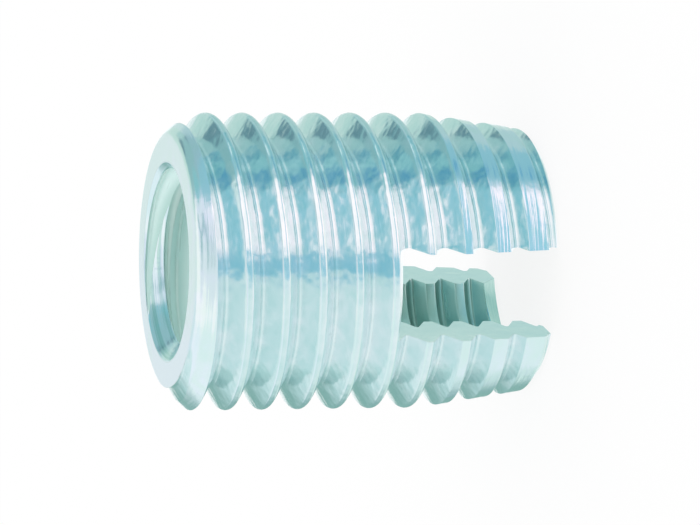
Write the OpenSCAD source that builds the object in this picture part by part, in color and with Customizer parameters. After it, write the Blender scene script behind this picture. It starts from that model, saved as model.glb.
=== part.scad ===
// Self-cutting threaded insert, turned from one piece of steel.
// The outside thread cuts into the workpiece, and a screw goes into the bore.
// It stands on its cutting end at Z = 0, with the mouth of the bore upwards.

/* [Body] */
// Length from the cutting end to the mouth
body_length = 14.9; // [12:0.1:20]
// Diameter over the crests of the outside thread
outer_d = 12; // [11:0.1:14]

/* [Outside thread] */
// Distance from one crest to the next
thread_pitch = 1.5; // [1.25:0.05:1.75]
// Angle between the two flanks
flank_angle = 60; // [55:1:65]
// Radius that rounds the crest
crest_round = 0.21; // [0.12:0.01:0.24]
// Radius that rounds the root
root_round = 0.13; // [0.08:0.01:0.24]
// Turn of the thread about the axis, from +X
thread_turn = 66; // [0:1:359]

/* [Bore] */
// Nominal diameter of the screw that goes in
screw_d = 8; // [6:0.5:8.5]
// Pitch of that screw, which sets how much smaller the bore is
screw_pitch = 1.25; // [0.75:0.25:1.5]
// Angle between the sides of the countersink at each end
countersink_angle = 90; // [75:5:120]

/* [Mouth end] */
// Length of the outside chamfer along the axis
mouth_chamfer = 0.95; // [0.4:0.05:1.2]
// Slope of the outside chamfer to the axis
mouth_slope = 42; // [30:1:45]
// Radius that blends the chamfer into the flat face
mouth_round = 0.6; // [0.2:0.05:0.8]

/* [Cutting end] */
// Length of the taper along the axis
taper_length = 4.5; // [2:0.25:6]
// Slope of the taper to the axis
taper_slope = 8.3; // [4:0.1:10]
// Chamfer on the outer edge of the end
end_chamfer = 0.3; // [0.1:0.05:0.4]
// Width of the slot across the end
slot_width = 3.6; // [2:0.1:5]
// Depth of the slot from the end
slot_depth = 6.6; // [4:0.1:9]

/* [Hidden] */
// Steps of the helix in one turn, and of its arcs over a crest and in a root
turn_steps = 46;
crest_steps = 3;
root_steps = 2;
// Steps of the arc that blends the mouth's edge
blend_steps = 4;
// How far a cutting shape passes the surface that it cuts
cut_past = 1;
$fn = 96;

outer_r = outer_d / 2;
// A sharp V thread is this deep, and a rounded tip or foot takes this share of its radius off
sharp_depth = thread_pitch / 2 / tan(flank_angle / 2);
round_share = 1 / sin(flank_angle / 2) - 1;
root_r = outer_r - sharp_depth + (crest_round + root_round) * round_share;
// The bore is left at 5/8 of a sharp V inside the screw's diameter, for the inside thread
bore_r = screw_d / 2 - 5 / 8 * screw_pitch / 2 / tan(30);
countersink_depth = (screw_d / 2 - bore_r) / tan(countersink_angle / 2);
end_r = outer_r - taper_length * tan(taper_slope);

// One pitch of the thread as [radius, height], over the crest and through the root
function thread_section() = let (turn = 90 - flank_angle / 2) concat(
    [for (i = [0:crest_steps]) let (a = turn * (2 * i / crest_steps - 1))
        [outer_r - crest_round * (1 - cos(a)), crest_round * sin(a)]],
    [for (i = [0:root_steps]) let (a = turn * (2 * i / root_steps - 1))
        [root_r + root_round * (1 - cos(a)), thread_pitch / 2 + root_round * sin(a)]]
);

// A right-hand threaded rod from bottom upwards, with a cone on each end
module threaded_rod(bottom, turns) {
    section = thread_section();
    per_turn = len(section);
    rows = per_turn * (turns + 1);
    top = per_turn * turns - 1;
    wall_points = [
        for (i = [0:turn_steps - 1], m = [0:rows - 1])
            let (a = 360 * i / turn_steps, p = section[m % per_turn])
            [p.x * cos(a), p.x * sin(a),
             bottom + p.y + thread_pitch * (floor(m / per_turn) + i / turn_steps)]
    ];
    foot = len(wall_points);
    head = foot + 1;
    // The column after the last is the first one, a turn further up
    function at(i, m) = i < turn_steps ? i * rows + m : m + per_turn;
    polyhedron(
        points = concat(wall_points, [
            [0, 0, bottom - thread_pitch],
            [0, 0, bottom + thread_pitch * (turns + 2)]
        ]),
        faces = concat(
            [for (i = [0:turn_steps - 1], m = [0:top - 1]) each [
                [at(i, m), at(i, m + 1), at(i + 1, m)],
                [at(i + 1, m), at(i, m + 1), at(i + 1, m + 1)]]],
            [for (i = [0:turn_steps - 1]) each [
                [foot, at(i, 0), at(i + 1, 0)],
                [head, at(i + 1, top), at(i, top)]]],
            [for (m = [0:per_turn - 1]) each [
                [foot, m + 1, m],
                [head, top + m, top + m + 1]]]
        )
    );
}

// The turned blank, which limits the thread: tapered at the bottom and chamfered at the top
module blank() {
    chamfer_turn = 90 - mouth_slope;
    face_r = outer_r - mouth_chamfer * tan(mouth_slope) - mouth_round * tan(chamfer_turn / 2);
    rotate_extrude()
        polygon(concat(
            [[0, 0], [end_r - end_chamfer, 0], [end_r + end_chamfer * tan(taper_slope), end_chamfer]],
            [[outer_r + cut_past, taper_length + cut_past / tan(taper_slope)]],
            [[outer_r + cut_past, body_length - mouth_chamfer - cut_past / tan(mouth_slope)]],
            [for (i = [blend_steps:-1:0]) let (a = chamfer_turn * i / blend_steps)
                [face_r + mouth_round * sin(a), body_length - mouth_round * (1 - cos(a))]],
            [[0, body_length]]
        ));
}

// The bore with its countersinks, as the shape that is cut out
module bore() {
    past_r = screw_d / 2 + cut_past * tan(countersink_angle / 2);
    rotate_extrude()
        polygon([
            [0, -cut_past], [past_r, -cut_past],
            [bore_r, countersink_depth], [bore_r, body_length - countersink_depth],
            [past_r, body_length + cut_past], [0, body_length + cut_past]
        ]);
}

// The slot runs along Y, through both sides
module cutting_slot() {
    translate([-slot_width / 2, -outer_d, -cut_past])
        cube([slot_width, 2 * outer_d, slot_depth + cut_past]);
}

module threaded_insert() {
    color("lightsteelblue")
        difference() {
            intersection() {
                rotate(thread_turn)
                    threaded_rod(-2 * thread_pitch, ceil(body_length / thread_pitch) + 3);
                blank();
            }
            bore();
            cutting_slot();
        }
}

threaded_insert();
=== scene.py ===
import math

import bmesh
import bpy
from mathutils import Matrix, Vector


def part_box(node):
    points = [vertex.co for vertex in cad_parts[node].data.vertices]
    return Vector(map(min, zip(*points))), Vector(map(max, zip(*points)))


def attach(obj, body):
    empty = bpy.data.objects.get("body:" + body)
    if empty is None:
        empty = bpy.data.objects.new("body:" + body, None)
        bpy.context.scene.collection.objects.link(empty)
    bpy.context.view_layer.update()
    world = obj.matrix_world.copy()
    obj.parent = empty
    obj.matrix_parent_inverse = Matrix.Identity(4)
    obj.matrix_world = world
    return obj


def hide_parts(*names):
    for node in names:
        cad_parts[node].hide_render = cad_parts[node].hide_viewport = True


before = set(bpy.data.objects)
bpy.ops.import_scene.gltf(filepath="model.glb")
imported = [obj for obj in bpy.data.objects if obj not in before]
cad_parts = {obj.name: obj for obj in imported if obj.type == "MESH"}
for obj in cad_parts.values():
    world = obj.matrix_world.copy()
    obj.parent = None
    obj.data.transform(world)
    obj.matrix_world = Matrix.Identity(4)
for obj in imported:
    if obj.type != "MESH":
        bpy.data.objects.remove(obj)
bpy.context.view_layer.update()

bodyNode = "threaded_insert"
standZ, mouthZ = (corner[2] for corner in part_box(bodyNode))
print("frame loaded")


class Wire:
    # A node's output that takes plain arithmetic, in shader and geometry trees alike
    def __init__(self, bench, socket):
        self.bench = bench
        self.socket = socket

    def __add__(self, other):
        return self.bench.maths("ADD", self, other)

    def __sub__(self, other):
        return self.bench.maths("SUBTRACT", self, other)

    def __rsub__(self, other):
        return self.bench.maths("SUBTRACT", other, self)

    def __mul__(self, other):
        return self.bench.maths("MULTIPLY", self, other)

    def __truediv__(self, other):
        return self.bench.maths("DIVIDE", self, other)

    def __mod__(self, other):
        return self.bench.maths("FLOORED_MODULO", self, other)

    def __gt__(self, other):
        return self.bench.maths("GREATER_THAN", self, other)

    def __lt__(self, other):
        return self.bench.maths("LESS_THAN", self, other)

    __radd__ = __add__
    __rmul__ = __mul__

    def out(self, name):
        return Wire(self.bench, self.socket.node.outputs[name])


class Bench:
    # A node tree that is being wired
    def __init__(self, tree):
        self.tree = tree

    def node(self, kind, settings=None, values=None):
        # Settings are the node's own, values go to its inputs, and a list fills one input with many
        node = self.tree.nodes.new(kind)
        for name, value in (settings or {}).items():
            setattr(node, name, value)
        for name, value in (values or {}).items():
            for one in value if isinstance(value, list) else [value]:
                if isinstance(one, Wire):
                    self.tree.links.new(one.socket, node.inputs[name])
                else:
                    node.inputs[name].default_value = one
        return Wire(self, next((socket for socket in node.outputs if socket.enabled), None))

    def maths(self, operation, *values):
        return self.node("ShaderNodeMath", {"operation": operation}, dict(enumerate(values)))

    def mix(self, share, first, second):
        mixed = self.node("ShaderNodeMix", {"data_type": "RGBA"}, {"Factor": share, 6: first, 7: second})
        return Wire(self, mixed.socket.node.outputs[2])

    def position(self, x, y, z):
        return self.node("ShaderNodeCombineXYZ", None, {"X": x, "Y": y, "Z": z})


def newGroup(name, sockets):
    # A geometry group with these inputs, and the node that gives them
    tree = bpy.data.node_groups.new(name, "GeometryNodeTree")
    for label, kind in sockets:
        tree.interface.new_socket(label, in_out="INPUT", socket_type="NodeSocket" + kind)
    tree.interface.new_socket("Geometry", in_out="OUTPUT", socket_type="NodeSocketGeometry")
    bench = Bench(tree)
    return bench, bench.node("NodeGroupInput")


def newMaterial(name):
    material = bpy.data.materials.new(name)
    material.use_nodes = True
    material.node_tree.nodes.clear()
    return material, Bench(material.node_tree)


def addObject(name, data):
    thing = bpy.data.objects.new(name, data)
    bpy.context.scene.collection.objects.link(thing)
    return thing


# Lengths are in metres
threads = {
    "outsideDiameter": 0.012,
    "outsidePitch": 0.0015,
    "outsideTurn": math.radians(66),        # about the axis, from +X
    "crestRound": 0.00021,
    "rootRound": 0.00013,
    "flankAngle": math.radians(60),         # between two flanks, outside and inside
    "screwDiameter": 0.008,
    "screwPitch": 0.00125,
    "screwTurn": math.radians(168),
    "grooveRound": 0.00009,                 # at the bottom of the inside thread's groove
    "edgeRound": 0.00004,                   # on the edges of the land between two grooves
    "landDepth": 5 / 8,                     # in from the screw's radius, in depths of a sharp thread
    "outsideSteps": 180,                    # in one turn
    "insideSteps": 120,
    "arcSteps": 6,                          # over a rounded corner
    "sameHeight": 1e-9,                     # two heights this near are one
    "weldDistance": 1e-6,
}

outerRadius = threads["outsideDiameter"] / 2
screwRadius = threads["screwDiameter"] / 2
halfFlank = threads["flankAngle"] / 2
# How far a sharp corner stands past its rounded one, in radii of the rounding
roundShare = 1 / math.sin(halfFlank) - 1
boreRadius = screwRadius - threads["landDepth"] * threads["screwPitch"] / 2 / math.tan(halfFlank)


def sectionGroup():
    # A zigzag with rounded corners in the XZ plane, as (radius, height) over many pitches.
    # A pitch has its tip and then its foot, of one corner or of two with a land between them.
    bench, given = newGroup("threadSection", [
        ("Tip Radius", "Float"), ("Foot Radius", "Float"), ("Pitch", "Float"), ("Corners", "Int"),
        ("Land", "Float"), ("Tip Round", "Float"), ("Foot Round", "Float"), ("Low", "Float"),
        ("Turns", "Int"), ("Arc Steps", "Int")])
    corners = given.out("Corners")
    index = bench.node("GeometryNodeInputIndex")
    corner = index % corners
    isTip = corner < 0.5
    isFoot = 1 - isTip
    radius = given.out("Tip Radius") * isTip + given.out("Foot Radius") * isFoot
    pitches = bench.maths("FLOOR", index / corners) + isFoot * 0.5
    ontoLand = (corner * 2 - corners) * isFoot * given.out("Land") * 0.5
    height = given.out("Low") + given.out("Pitch") * pitches + ontoLand
    line = bench.node("GeometryNodeMeshLine", None, {"Count": given.out("Turns") * corners})
    line = bench.node("GeometryNodeMeshToCurve", None, {0: line})
    line = bench.node("GeometryNodeSetPosition", None, {
        0: line, "Position": bench.position(radius, 0, height)})
    line = bench.node("GeometryNodeFilletCurve", {"mode": "POLY"}, {
        0: line, "Count": given.out("Arc Steps"), "Limit Radius": True,
        "Radius": given.out("Tip Round") * isTip + given.out("Foot Round") * isFoot})
    bench.node("NodeGroupOutput", None, {0: line})
    return bench.tree


def sweepGroup():
    # Carries a section once around Z while it climbs one pitch, and closes the ends with flat discs
    bench, given = newGroup("threadSweep", [
        ("Section", "Geometry"), ("Pitch", "Float"), ("Turn", "Float"), ("Low", "Float"),
        ("High", "Float"), ("Disc Radius", "Float"), ("Steps", "Int")])
    section = given.out("Section")
    steps = given.out("Steps")
    lastRow = bench.node("GeometryNodeAttributeDomainSize", {"component": "CURVE"}, {0: section}) + 1
    sheet = bench.node("GeometryNodeMeshGrid", None, {
        "Size X": steps, "Size Y": lastRow, "Vertices X": steps + 1, "Vertices Y": lastRow + 1})
    place = bench.node("ShaderNodeSeparateXYZ", None, {0: bench.node("GeometryNodeInputPosition")})
    share = (place.out("X") + steps / 2) / steps
    row = bench.maths("ROUND", place.out("Y") + lastRow / 2)
    onSection = bench.node("ShaderNodeSeparateXYZ", None, {0: bench.node(
        "GeometryNodeSampleIndex", {"data_type": "FLOAT_VECTOR", "clamp": True},
        {0: section, 1: bench.node("GeometryNodeInputPosition"), "Index": row - 1})})
    climbed = onSection.out("Z") + given.out("Pitch") * share
    height = bench.maths("MINIMUM", bench.maths("MAXIMUM", climbed, given.out("Low")), given.out("High"))
    isFree = bench.maths("COMPARE", height, climbed, threads["sameHeight"])
    isFirst = row < 0.5
    isLast = row > lastRow - 0.5
    isWall = 1 - isFirst - isLast
    radius = (onSection.out("X") * isFree + given.out("Disc Radius") * (1 - isFree)) * isWall
    height = height * isWall + given.out("Low") * isFirst + given.out("High") * isLast
    angle = share * (2 * math.pi) + given.out("Turn")
    wall = bench.node("GeometryNodeSetPosition", None, {
        0: sheet, "Position": bench.position(
            radius * bench.maths("COSINE", angle), radius * bench.maths("SINE", angle), height)})
    wall = bench.node("GeometryNodeMergeByDistance", None, {
        0: wall, "Distance": threads["weldDistance"]})
    bench.node("NodeGroupOutput", None, {0: wall})
    return bench.tree


def insertTree():
    # The thread, limited by the turned blank, less the inside thread, the countersinks and the slot
    bench, given = newGroup("threadedInsert", [
        ("Outside Diameter", "Float"), ("Outside Pitch", "Float"), ("Outside Turn", "Float"),
        ("Crest Round", "Float"), ("Root Round", "Float"), ("Screw Diameter", "Float"),
        ("Screw Pitch", "Float"), ("Screw Turn", "Float"), ("Groove Round", "Float"),
        ("Edge Round", "Float"), ("Bore Radius", "Float"), ("Slot Width", "Float"),
        ("Slot Depth", "Float"), ("Stand", "Float"), ("Mouth", "Float"), ("Past", "Float"),
        ("Outside Steps", "Int"), ("Inside Steps", "Int"), ("Arc Steps", "Int"),
        ("Blank", "Object"), ("Countersinks", "Object"), ("Plating", "Material")])
    section, sweep = sectionGroup(), sweepGroup()
    low = given.out("Stand") - given.out("Past")
    high = given.out("Mouth") + given.out("Past")

    def thread(pitch, turn, steps, tip, foot, corners, land, tipRound, footRound, discRadius):
        start = given.out("Stand") - pitch * 2
        turns = bench.maths("CEIL", (high - start) / pitch) + 1
        line = bench.node("GeometryNodeGroup", {"node_tree": section}, {
            "Tip Radius": tip, "Foot Radius": foot, "Pitch": pitch, "Corners": corners, "Land": land,
            "Tip Round": tipRound, "Foot Round": footRound, "Low": start, "Turns": turns,
            "Arc Steps": given.out("Arc Steps")})
        return bench.node("GeometryNodeGroup", {"node_tree": sweep}, {
            "Section": line, "Pitch": pitch, "Turn": turn, "Low": low, "High": high,
            "Disc Radius": discRadius, "Steps": steps})

    def solid(label):
        return bench.node("GeometryNodeObjectInfo", None, {"Object": given.out(label)}).out("Geometry")

    pitch = given.out("Outside Pitch")
    crestRadius = given.out("Outside Diameter") / 2
    crestTip = crestRadius + given.out("Crest Round") * roundShare
    rod = thread(pitch, given.out("Outside Turn"), given.out("Outside Steps"), crestTip,
                 crestTip - pitch / 2 / math.tan(halfFlank), 2, 0.0,
                 given.out("Crest Round"), given.out("Root Round"), crestRadius)
    screwPitch = given.out("Screw Pitch")
    grooveTip = given.out("Screw Diameter") / 2 + given.out("Groove Round") * roundShare
    landRadius = given.out("Bore Radius")
    land = screwPitch - (grooveTip - landRadius) * (2 * math.tan(halfFlank))
    tap = thread(screwPitch, given.out("Screw Turn"), given.out("Inside Steps"), grooveTip, landRadius,
                 3, land, given.out("Groove Round"), given.out("Edge Round"), landRadius)

    slotHeight = given.out("Slot Depth") + given.out("Past")
    slotSize = bench.position(given.out("Slot Width"), given.out("Outside Diameter") * 2, slotHeight)
    slot = bench.node("GeometryNodeTransform", None, {
        0: bench.node("GeometryNodeMeshCube", None, {"Size": slotSize}),
        "Translation": bench.position(0, 0, low + slotHeight / 2)})
    cut = {"solver": "MANIFOLD"}
    shape = bench.node("GeometryNodeMeshBoolean", {**cut, "operation": "INTERSECT"},
                       {1: [rod, solid("Blank")]})
    shape = bench.node("GeometryNodeMeshBoolean", {**cut, "operation": "DIFFERENCE"},
                       {0: shape, 1: [tap, solid("Countersinks"), slot]})
    shape = bench.node("GeometryNodeRealizeInstances", None, {0: shape})
    shape = bench.node("GeometryNodeSetMaterial", None, {0: shape, "Material": given.out("Plating")})
    bench.node("NodeGroupOutput", None, {0: shape})
    return bench.tree


turning = {
    "mouthChamfer": 0.00095,                # along the axis
    "mouthSlope": math.radians(42),         # to the axis
    "mouthRound": 0.0006,
    "taperLength": 0.0045,
    "taperSlope": math.radians(8.3),
    "endChamfer": 0.0003,
    "countersinkSlope": math.radians(45),
    "slotWidth": 0.0036,
    "slotDepth": 0.0066,
    "past": 0.001,                          # how far a cutting shape passes what it cuts
    "sides": 240,
    "roundSteps": 10,
    "mostCorners": 4,                       # a face with more is split into triangles
    "sharpAngle": math.radians(30),
}


def turned(name, outline):
    # A solid of revolution from (radius, height) points that start and end on the axis
    bm = bmesh.new()
    points = [bm.verts.new((radius, 0, height)) for radius, height in outline]
    edges = [bm.edges.new(pair) for pair in zip(points, points[1:])]
    bmesh.ops.spin(bm, geom=points + edges, cent=(0, 0, 0), axis=(0, 0, 1),
                   angle=2 * math.pi, steps=turning["sides"], use_merge=True)
    bmesh.ops.remove_doubles(bm, verts=bm.verts, dist=threads["weldDistance"])
    bmesh.ops.recalc_face_normals(bm, faces=bm.faces)
    mesh = bpy.data.meshes.new(name)
    bm.to_mesh(mesh)
    bm.free()
    return addObject(name, mesh)


def arc(centre, radius, fromAngle, toAngle, steps):
    angles = [fromAngle + (toAngle - fromAngle) * i / steps for i in range(steps + 1)]
    return [(centre[0] + radius * math.cos(a), centre[1] + radius * math.sin(a)) for a in angles]


def blankSolid():
    past = turning["past"]
    taper, slope = math.tan(turning["taperSlope"]), turning["mouthSlope"]
    endRadius = outerRadius - turning["taperLength"] * taper
    chamferTurn = math.pi / 2 - slope
    faceRadius = (outerRadius - turning["mouthChamfer"] * math.tan(slope)
                  - turning["mouthRound"] * math.tan(chamferTurn / 2))
    lip = arc((faceRadius, mouthZ - turning["mouthRound"]), turning["mouthRound"],
              math.pi / 2 - chamferTurn, math.pi / 2, turning["roundSteps"])
    outline = [(0, standZ), (endRadius - turning["endChamfer"], standZ),
               (endRadius + turning["endChamfer"] * taper, standZ + turning["endChamfer"]),
               (outerRadius + past, standZ + turning["taperLength"] + past / taper),
               (outerRadius + past, mouthZ - turning["mouthChamfer"] - past / math.tan(slope))]
    return turned("blankSolid", outline + lip + [(0, mouthZ)])


def countersinkSolids():
    # Two cones that meet on the axis inside the bore
    past = turning["past"]
    slope = math.tan(turning["countersinkSlope"])
    reach = screwRadius / slope
    wide = screwRadius + past * slope
    lower = [(0, standZ - past), (wide, standZ - past), (0, standZ + reach)]
    upper = [(0, mouthZ - reach), (wide, mouthZ + past), (0, mouthZ + past)]
    return turned("countersinkSolids", lower + upper)


def cleanMesh(mesh):
    # Takes out the slivers that the cuts leave, and splits the faces with many corners
    bm = bmesh.new()
    bm.from_mesh(mesh)
    bmesh.ops.remove_doubles(bm, verts=bm.verts, dist=threads["weldDistance"])
    bmesh.ops.dissolve_degenerate(bm, edges=bm.edges, dist=threads["weldDistance"])
    manyCorners = [face for face in bm.faces if len(face.verts) > turning["mostCorners"]]
    bmesh.ops.triangulate(bm, faces=manyCorners)
    bm.to_mesh(mesh)
    bm.free()


def makeInsert(material):
    # The host and the two solids only feed the tree, and go when the mesh is made
    blank, sinks = blankSolid(), countersinkSolids()
    tree = insertTree()
    values = {
        "Outside Diameter": threads["outsideDiameter"],
        "Outside Pitch": threads["outsidePitch"],
        "Outside Turn": threads["outsideTurn"],
        "Crest Round": threads["crestRound"],
        "Root Round": threads["rootRound"],
        "Screw Diameter": threads["screwDiameter"],
        "Screw Pitch": threads["screwPitch"],
        "Screw Turn": threads["screwTurn"],
        "Groove Round": threads["grooveRound"],
        "Edge Round": threads["edgeRound"],
        "Bore Radius": boreRadius,
        "Slot Width": turning["slotWidth"],
        "Slot Depth": turning["slotDepth"],
        "Stand": standZ,
        "Mouth": mouthZ,
        "Past": turning["past"],
        "Outside Steps": threads["outsideSteps"],
        "Inside Steps": threads["insideSteps"],
        "Arc Steps": threads["arcSteps"],
        "Blank": blank,
        "Countersinks": sinks,
        "Plating": material,
    }
    host = addObject("insertHost", bpy.data.meshes.new("insertHost"))
    modifier = host.modifiers.new("threadedInsert", "NODES")
    modifier.node_group = tree
    for item in tree.interface.items_tree:
        if item.in_out == "INPUT":
            modifier[item.identifier] = values[item.name]
    evaluated = host.evaluated_get(bpy.context.evaluated_depsgraph_get())
    mesh = bpy.data.meshes.new_from_object(evaluated)
    for helper in (host, blank, sinks):
        bpy.data.objects.remove(helper)
    mesh.name = "insertBody"
    cleanMesh(mesh)
    mesh.polygons.foreach_set("use_smooth", [True] * len(mesh.polygons))
    mesh.set_sharp_from_angle(angle=turning["sharpAngle"])
    return addObject("insertBody", mesh)


view = {
    "azimuth": math.radians(15.6),          # from -Y towards +X
    "elevation": math.radians(15.0),
    "roll": math.radians(0.4),
    "distance": 0.225,
    "lens": 285.4,                          # in millimetres
    "aim": (0, 0, 0.0075),
    "acrossFrame": -0.00024,                # how far the aim stands off the frame's middle
    "upFrame": 0.00008,
    "clipStart": 0.01,
    "clipEnd": 20,
}


def placeCamera():
    # The insert lies across the frame, with its mouth to the left
    azimuth, elevation, roll = view["azimuth"], view["elevation"], view["roll"]
    back = Vector((math.sin(azimuth) * math.cos(elevation), -math.cos(azimuth) * math.cos(elevation),
                   math.sin(elevation)))
    sideways = Vector((math.cos(azimuth), math.sin(azimuth), 0))       # up in the frame
    upright = sideways.cross(back)                                     # right in the frame
    up = sideways * math.cos(roll) + upright * math.sin(roll)
    right = upright * math.cos(roll) - sideways * math.sin(roll)
    spot = Vector(view["aim"]) + back * view["distance"]
    spot = spot - right * view["acrossFrame"] - up * view["upFrame"]
    data = bpy.data.cameras.new("camera")
    data.lens = view["lens"]
    data.clip_start = view["clipStart"]
    data.clip_end = view["clipEnd"]
    camera = addObject("camera", data)
    camera.matrix_world = Matrix((right, up, back)).transposed().to_4x4()
    camera.location = spot
    bpy.context.scene.camera = camera


# Cards that only reflections see. Their angles, in degrees, go around the insert from the camera's side
# towards the top of the frame, and rise from the floor towards the mouth. A later card hangs in front
# of the earlier ones. Each has its angles around, its angles of rise, how far it climbs on its way
# around, and its colour. A card with a second colour fades into it, the way that it names.
studio = {
    "cardDistance": 0.6,
    "cardGap": 0.01,
    "cardSteps": 12,
    "floorSize": 1.0,
    "white": (1, 1, 1, 1),
    "floorGlow": 0.85,                      # the share of the floor that is plain white to the camera
    "cards": {
        # Beyond the mouth
        "topCard": ((-60, 112), (55, 85), 0, (0.80, 0.84, 0.92)),
        "hoodCard": ((-10, 100), (69, 74), 0, (0.26, 0.48, 0.52)),
        # The table below the frame, and a dim strip at the camera's side
        "tableCard": ((-112, -15), (-65, 58), 0, (0.82, 0.93, 0.94)),
        "edgeCard": ((-15, 4), (-65, 58), 0, (0.29, 0.62, 0.76)),
        # The main light, and a dimmer strip across its foot
        "softBox": ((4, 68), (-65, 58), 0, (1.24, 1.10, 1.13)),
        "lowCard": ((3, 72), (-42, -24), 15, (0.32, 0.67, 0.78)),
        # The dark side above the frame, with what stands out in front of it
        "tealCard": ((68, 112), (-65, 60), 0, (0.27, 0.56, 0.62)),
        "blueCard": ((74, 86), (-28, -8), 2, (0.10, 0.36, 0.56)),
        "greenCard": ((89, 100), (-14, 0), 4, (0.40, 0.70, 0.72)),
        "inkCard": ((102, 110), (-12, 2), 4, (0.12, 0.36, 0.48)),
        "glintCard": ((90, 100), (8, 24), 0, (0.90, 1.04, 1.04)),
        # From there it grows paler towards the back
        "greyCard": ((112, 151), (-65, 62), 0, (0.44, 0.65, 0.65)),
        "dimCard": ((112, 151), (23, 62), 0, (0.31, 0.52, 0.55)),
        "darkCard": ((141, 152), (23, 38), 0, (0.14, 0.26, 0.32)),
        "paleCard": ((151, 166), (-65, 62), 0, (0.61, 0.78, 0.74)),
        # The bright back
        "backCard": ((166, 190), (-65, 0), 0, (1.05, 1.08, 1.08)),
        "mouthCard": ((166, 190), (0, 62), 0, (0.78, 0.86, 0.87)),
        # Behind and below, dark in the middle and pale around it
        "footCard": ((190, 248), (-65, -25), 0, (0.68, 0.86, 0.82)),
        "shadeCard": ((190, 214), (-25, 6), 0, (0.27, 0.47, 0.44)),
        "duskCard": ((190, 214), (6, 27), 0, (0.24, 0.43, 0.40), "rise", (0.70, 0.84, 0.86)),
        "archCard": ((190, 214), (27, 62), 0, (0.70, 0.84, 0.86)),
        "sideCard": ((214, 248), (-25, 8), 0, (0.28, 0.46, 0.46), "around", (0.66, 0.84, 0.82)),
        "riseCard": ((214, 248), (8, 22), 0, (0.46, 0.66, 0.66), "rise", (0.86, 0.94, 0.96)),
        "sillCard": ((214, 248), (22, 62), 0, (0.86, 0.94, 0.96)),
    },
}


def onCard(around, rise):
    azimuth = view["azimuth"] + math.radians(around - 90)
    rise = math.radians(rise)
    return Vector((math.cos(azimuth) * math.cos(rise), math.sin(azimuth) * math.cos(rise),
                   math.sin(rise)))


def cardMesh(name, distance, around, rise, climb, fadeAlong):
    bm = bmesh.new()
    steps = studio["cardSteps"]
    rows = [[bm.verts.new(Vector(view["aim"]) + distance * onCard(
        around[0] + (around[1] - around[0]) * i / steps,
        rise[0] + (rise[1] - rise[0]) * j / steps + climb * i / steps))
        for i in range(steps + 1)] for j in range(steps + 1)]
    for low, high in zip(rows, rows[1:]):
        for i in range(steps):
            bm.faces.new((low[i], low[i + 1], high[i + 1], high[i]))
    mesh = bpy.data.meshes.new(name)
    bm.to_mesh(mesh)
    bm.free()
    fade = mesh.attributes.new("fade", "FLOAT", "POINT")
    for index, one in enumerate(fade.data):
        row, column = divmod(index, steps + 1)
        one.value = (column if fadeAlong == "around" else row) / steps
    return mesh


def makeCard(name, distance, around, rise, climb, colour, fadeAlong="around", fadeColour=None):
    mesh = cardMesh(name, distance, around, rise, climb, fadeAlong)
    material, bench = newMaterial(name)
    share = bench.node("ShaderNodeAttribute", {"attribute_name": "fade"}).out("Fac")
    shade = bench.mix(share, (*colour, 1), (*(fadeColour or colour), 1))
    glow = bench.node("ShaderNodeEmission", None, {"Color": shade})
    bench.node("ShaderNodeOutputMaterial", None, {"Surface": glow})
    mesh.materials.append(material)
    card = addObject(name, mesh)
    card.visible_camera = False
    card.visible_diffuse = False
    card.visible_shadow = False


def makeFloor():
    mesh = bpy.data.meshes.new("floor")
    bm = bmesh.new()
    bmesh.ops.create_grid(bm, x_segments=1, y_segments=1, size=studio["floorSize"],
                          matrix=Matrix.Translation((0, 0, standZ)))
    bm.to_mesh(mesh)
    bm.free()
    material, bench = newMaterial("floor")
    path = bench.node("ShaderNodeLightPath")
    isSeen = path.out("Is Camera Ray")
    for ray in ("Is Glossy Ray", "Is Transmission Ray"):
        isSeen = bench.maths("MAXIMUM", isSeen, path.out(ray))
    paint = bench.node("ShaderNodeBsdfDiffuse", None, {"Color": studio["white"]})
    glow = bench.node("ShaderNodeEmission", None, {"Color": studio["white"], "Strength": 1})
    mixed = bench.node("ShaderNodeMixShader", None, {0: isSeen * studio["floorGlow"], 1: paint, 2: glow})
    bench.node("ShaderNodeOutputMaterial", None, {"Surface": mixed})
    mesh.materials.append(material)
    floor = addObject("floor", mesh)
    floor.visible_glossy = False            # the cards below it show in the metal


def lightWorld():
    world = bpy.data.worlds.new("studio")
    bpy.context.scene.world = world
    world.use_nodes = True
    world.node_tree.nodes["Background"].inputs["Color"].default_value = studio["white"]


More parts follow.
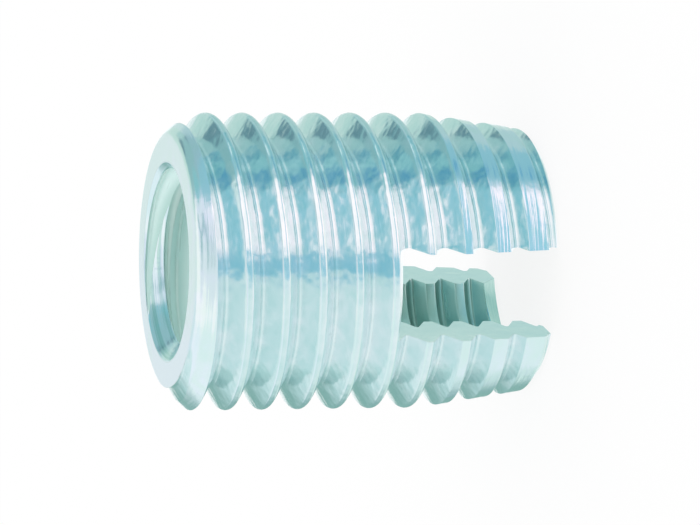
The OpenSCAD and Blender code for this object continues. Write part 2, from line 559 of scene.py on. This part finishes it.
plating = {
    # The film's tints, with painted light and shade in them. It is deeper on the flank that faces the
    # mouth, as painted shade, and paler on the flank that faces the end, as a painted highlight. In the
    # bore it is painted pale near the mouth, as painted light, and darkest deep in, as painted shade.
    "mouthFlankShade": (0.66, 0.84, 0.84, 1),
    "endFlankHighlight": (0.95, 0.96, 0.98, 1),
    "turnedMint": (0.80, 0.92, 0.90, 1),
    "turnedPale": (0.87, 0.92, 0.98, 1),
    "sinkMint": (0.80, 0.91, 0.94, 1),
    "slotMint": (0.94, 1.0, 0.96, 1),
    # Painted light and shade in the bore: pale near the mouth, and darker deep in and on the
    # countersinks
    "boreLitMint": (0.82, 1.0, 0.97, 1),
    "boreShade": (0.50, 0.73, 0.69, 1),
    # Painted highlights on the inside thread's crests and on lines at its roots
    "boreEdgeHighlight": (0.86, 1.0, 0.96, 1),       # on the inside thread's crests, and on lines at its roots
    # Painted shade where the inside thread meets the countersink
    "firstTurnShade": (0.48, 0.72, 0.67, 1),     # where the inside thread meets the countersink
    # How far the patches and the clouds shift a tint
    "patchTint": 1.3,
    "cloudTint": 1.0,
    "patchOnTurned": 0.5,
    "patchOnSlot": 1.2,
    # How strongly a tint covers the one below it
    "slotShare": 0.8,
    "shadeLineShare": 0.9,
    "boreEdgeHighlightShare": 0.6,
    "firstTurnShadeShare": 0.9,
    # Painted shade across the mouth's face: its tint goes from pale to mint towards the top of the
    # frame, how fast per metre, and which way from +X
    "faceShadeLean": 60,
    "faceShadeTurn": math.radians(15.6),
    # Where a kind of surface begins and where it is complete, in metres
    "formFade": (0.00001, 0.00005),         # in from the outside thread's own form
    "boreFade": (0.00008, 0),               # out from the screw's radius
    "firstTurnShadeFade": (0.00030, 0.00005),    # the same, with the distance from the end added
    "crestFade": (-0.00058, -0.00066),      # the inside thread's crests, and then its roots
    "rootFade": (-0.00009, -0.00003),
    "faceFade": (0.0004, 0.0002),           # down from the mouth
    "deepFade": (0.001, 0.007),
    "coneReach": 0.00004,                   # how far off a countersink still counts as on it
    "slotReach": 0.000002,                  # the same for the slot's walls
    # Where a noise begins to show and where it shows in full
    "paleFade": (0.35, 0.65),               # pale patches on what the lathe turned
    # Painted shade: the dark lines on the countersinks
    "shadeLineFade": (0.46, 0.56),               # dark lines on the countersinks
    # Scale per metre, detail and roughness of each noise that has no direction
    "cloud": (170, 1, 0.5),
    "patch": (1400, 3, 0.5),
    "wave": (1700, 1, 0.5),
    "grain": (5200, 3, 0.6),
    # Marks that follow the thread, and rings that follow the lathe
    "streakScale": 260,                     # along the thread, per metre
    "streakAcross": 5.0,                    # from crest to root
    "streakDetail": 3,
    "ringScale": 5200,                      # across the rings, per metre
    "ringAlong": 110,                       # low, so that a ring runs far round the insert
    "ringDetail": 2,
    # Roughness, and what is added to it
    "roughness": 0.12,
    "markRoughness": 0.10,
    "edgeRoughness": 0.06,                  # crests and roots are duller than the flanks
    "edgePower": 4,                         # a higher one keeps closer to them
    "boreRoughness": 0.12,
    # How metallic the bore's wall is, near the mouth and deep in
    "boreMetal": 0.2,
    "deepMetal": 0.8,
    # Heights of the relief, in metres
    "bumpReach": 0.001,
    "waveHeight": 0.000032,
    "waveTurnedOff": 0.6,                   # the share of the waves that turning takes away
    "grainHeight": 0.0000025,
    "streakHeight": 0.0000028,
    "ringHeight": 0.000027,
}


def faded(bench, value, fade, start=0):
    # Rises softly from 0 to 1 between the two values of the fade
    return bench.node("ShaderNodeMapRange", {"interpolation_type": "SMOOTHSTEP"}, {
        "Value": value, "From Min": start + fade[0], "From Max": start + fade[1]})


class InsertPlace:
    # Where a point lies on the insert. The sine and cosine are of the outside thread's phase, which is 0
    # on the crest and rises towards the mouth, over the flank that faces it.
    def __init__(self, bench):
        self.spot = bench.node("ShaderNodeTexCoord").out("Object")
        apart = bench.node("ShaderNodeSeparateXYZ", None, {0: self.spot})
        self.x, self.y, self.z = (apart.out(axis) for axis in "XYZ")
        self.radius = bench.maths("SQRT", self.x * self.x + self.y * self.y)
        self.belowMouth = mouthZ - self.z
        self.fromEnd = bench.maths("MINIMUM", self.z - standZ, self.belowMouth)
        turn = bench.maths("ARCTAN2", self.y, self.x) - threads["outsideTurn"]
        phase = (self.z - standZ) * (2 * math.pi / threads["outsidePitch"]) - turn
        self.sine = bench.maths("SINE", phase)
        self.cosine = bench.maths("COSINE", phase)


class InsertZones:
    # How far a point belongs to each kind of surface, from 0 to 1
    def __init__(self, bench, at):
        # What the lathe turned lies inside the thread's own form
        sharpTip = outerRadius + threads["crestRound"] * roundShare
        rootRadius = sharpTip - threads["outsidePitch"] / 2 / math.tan(halfFlank) + threads["rootRound"]
        fromCrest = bench.maths("ARCCOSINE", at.cosine) * (threads["outsidePitch"] / (2 * math.pi))
        form = bench.maths("MAXIMUM", sharpTip - fromCrest / math.tan(halfFlank), rootRadius)
        form = bench.maths("MINIMUM", form, outerRadius)
        self.turned = faded(bench, form - at.radius, plating["formFade"])
        # On a countersink of 45 degrees, the radius and the distance from the end have a fixed sum
        self.cone = bench.maths("COMPARE", at.radius + at.fromEnd, screwRadius, plating["coneReach"])
        onWall = bench.maths("COMPARE", bench.maths("ABSOLUTE", at.x), turning["slotWidth"] / 2,
                             plating["slotReach"])
        self.slot = onWall * (at.z < standZ + turning["slotDepth"])
        inBore = faded(bench, at.radius, plating["boreFade"], screwRadius)
        self.bore = inBore * (1 - self.cone) * (1 - self.slot)
        onCrest = faded(bench, at.radius, plating["crestFade"], screwRadius)
        onRoot = faded(bench, at.radius, plating["rootFade"], screwRadius)
        self.boreEdgeHighlight = bench.maths("MAXIMUM", onCrest, onRoot)
        # Where the painted shade of the inside thread's first turn lies
        self.firstTurnShade = faded(bench, at.radius + at.fromEnd, plating["firstTurnShadeFade"], screwRadius)
        self.face = faded(bench, at.belowMouth, plating["faceFade"]) * (1 - self.cone)
        # How far down from the mouth a point is, for the painted shade deep in the bore and for its
        # metal
        self.deep = faded(bench, at.belowMouth, plating["deepFade"])


class PlatingMarks:
    # Noises over the surface. The streaks repeat on no turn of the thread.
    def __init__(self, bench, at):
        def plain(kind):
            scale, detail, roughness = plating[kind]
            return bench.node("ShaderNodeTexNoise", None, {
                "Vector": at.spot, "Scale": scale, "Detail": detail, "Roughness": roughness})

        def stretched(detail, x, y, z, w):
            return bench.node("ShaderNodeTexNoise", {"noise_dimensions": "4D"}, {
                "Vector": bench.position(x, y, z), "W": w, "Scale": 1, "Detail": detail})

        scale, across = plating["streakScale"], plating["streakAcross"]
        self.streak = stretched(plating["streakDetail"], at.x * scale, at.y * scale,
                                at.z * scale + at.cosine * across, at.sine * across)
        scale, along = plating["ringScale"], plating["ringAlong"]
        self.ring = stretched(plating["ringDetail"], at.x * along, at.y * along,
                              at.radius * scale, at.z * scale)
        self.cloud = plain("cloud")
        self.patch = plain("patch")
        self.wave = plain("wave")
        self.grain = plain("grain")


def platingColour(bench, at, zone, mark):
    # A noise is 0.5 in its middle, where it shifts nothing
    patches = mark.patch - 0.5
    shift = patches * plating["patchTint"] + (mark.cloud - 0.5) * plating["cloudTint"]
    # Painted highlight and shade: the flank that faces the end is painted pale and the one that faces
    # the mouth darker, shifted at random by the patches and clouds
    filmAndPaintedLight = bench.mix(at.sine * 0.5 + 0.5 + shift, plating["endFlankHighlight"], plating["mouthFlankShade"])

    # Painted shade: the mouth's face is painted mint towards the top of the frame and paler towards its
    # bottom
    across = at.x * math.cos(plating["faceShadeTurn"]) + at.y * math.sin(plating["faceShadeTurn"])
    lean = across * (zone.face * plating["faceShadeLean"])
    isPale = faded(bench, mark.cloud + patches * plating["patchOnTurned"] - lean, plating["paleFade"])
    cut = bench.mix(isPale, plating["turnedMint"], plating["turnedPale"])
    # Painted shade: dark lines along the lathe rings on the countersinks, in the bore's shade colour
    lines = faded(bench, mark.ring, plating["shadeLineFade"]) * plating["shadeLineShare"]
    sink = bench.mix(lines, plating["sinkMint"], plating["boreShade"])
    # Painted shade: the countersinks are painted darker deep down from the mouth
    cut = bench.mix(zone.cone, cut, bench.mix(zone.deep, sink, plating["boreShade"]))
    slotShare = zone.slot * (plating["slotShare"] + patches * plating["patchOnSlot"])
    cut = bench.mix(slotShare, cut, plating["slotMint"])
    colour = bench.mix(bench.maths("MAXIMUM", zone.turned, zone.slot), filmAndPaintedLight, cut)

    # Painted light and shade: the bore's wall is painted pale near the mouth and darker deep in
    wall = bench.mix(zone.deep, plating["boreLitMint"], plating["boreShade"])
    # Painted highlights: paler on the inside thread's crests and on lines at its roots
    wall = bench.mix(zone.boreEdgeHighlight * plating["boreEdgeHighlightShare"], wall, plating["boreEdgeHighlight"])
    # Painted shade on the first turn of the inside thread, at the countersink
    wall = bench.mix(zone.firstTurnShade * plating["firstTurnShadeShare"], wall, plating["firstTurnShade"])
    return bench.mix(zone.bore, colour, wall)


def platingMetal(zone):
    boreMetal = plating["boreMetal"]
    return 1 - zone.bore * (1 - boreMetal - zone.deep * (plating["deepMetal"] - boreMetal))


def platingRoughness(bench, at, zone, mark):
    marks = mark.streak * (1 - zone.turned) + mark.ring * zone.turned
    edge = bench.maths("POWER", bench.maths("ABSOLUTE", at.cosine), plating["edgePower"])
    return (plating["roughness"] + marks * plating["markRoughness"]
            + edge * (1 - zone.turned) * plating["edgeRoughness"] + zone.bore * plating["boreRoughness"])


def platingBump(bench, zone, mark):
    reach = plating["bumpReach"]
    waves = mark.wave * (plating["waveHeight"] / reach) * (1 - zone.turned * plating["waveTurnedOff"])
    grains = mark.grain * (plating["grainHeight"] / reach)
    streaks = mark.streak * (plating["streakHeight"] / reach) * (1 - zone.turned)
    rings = mark.ring * (plating["ringHeight"] / reach) * zone.turned
    rings = rings * (1 - zone.bore) * (1 - zone.slot) * (1 - zone.face)
    return bench.node("ShaderNodeBump", None, {
        "Height": waves + grains + streaks + rings, "Strength": 1, "Distance": reach})


def platingMaterial():
    material, bench = newMaterial("bluishZinc")
    at = InsertPlace(bench)
    zone = InsertZones(bench, at)
    mark = PlatingMarks(bench, at)
    shader = bench.node("ShaderNodeBsdfPrincipled", None, {
        "Base Color": platingColour(bench, at, zone, mark), "Metallic": platingMetal(zone),
        "Roughness": platingRoughness(bench, at, zone, mark), "Normal": platingBump(bench, zone, mark)})
    bench.node("ShaderNodeOutputMaterial", None, {"Surface": shader})
    return material


placeCamera()
print("camera placed")

insert = makeInsert(platingMaterial())
print("insert", len(insert.data.vertices), sum(len(p.vertices) - 2 for p in insert.data.polygons))
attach(insert, "root")
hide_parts(bodyNode)

makeFloor()
for index, (name, card) in enumerate(studio["cards"].items()):
    makeCard(name, studio["cardDistance"] - studio["cardGap"] * index, *card)
lightWorld()
bpy.context.scene.view_settings.view_transform = "Standard"
print("studio lit")
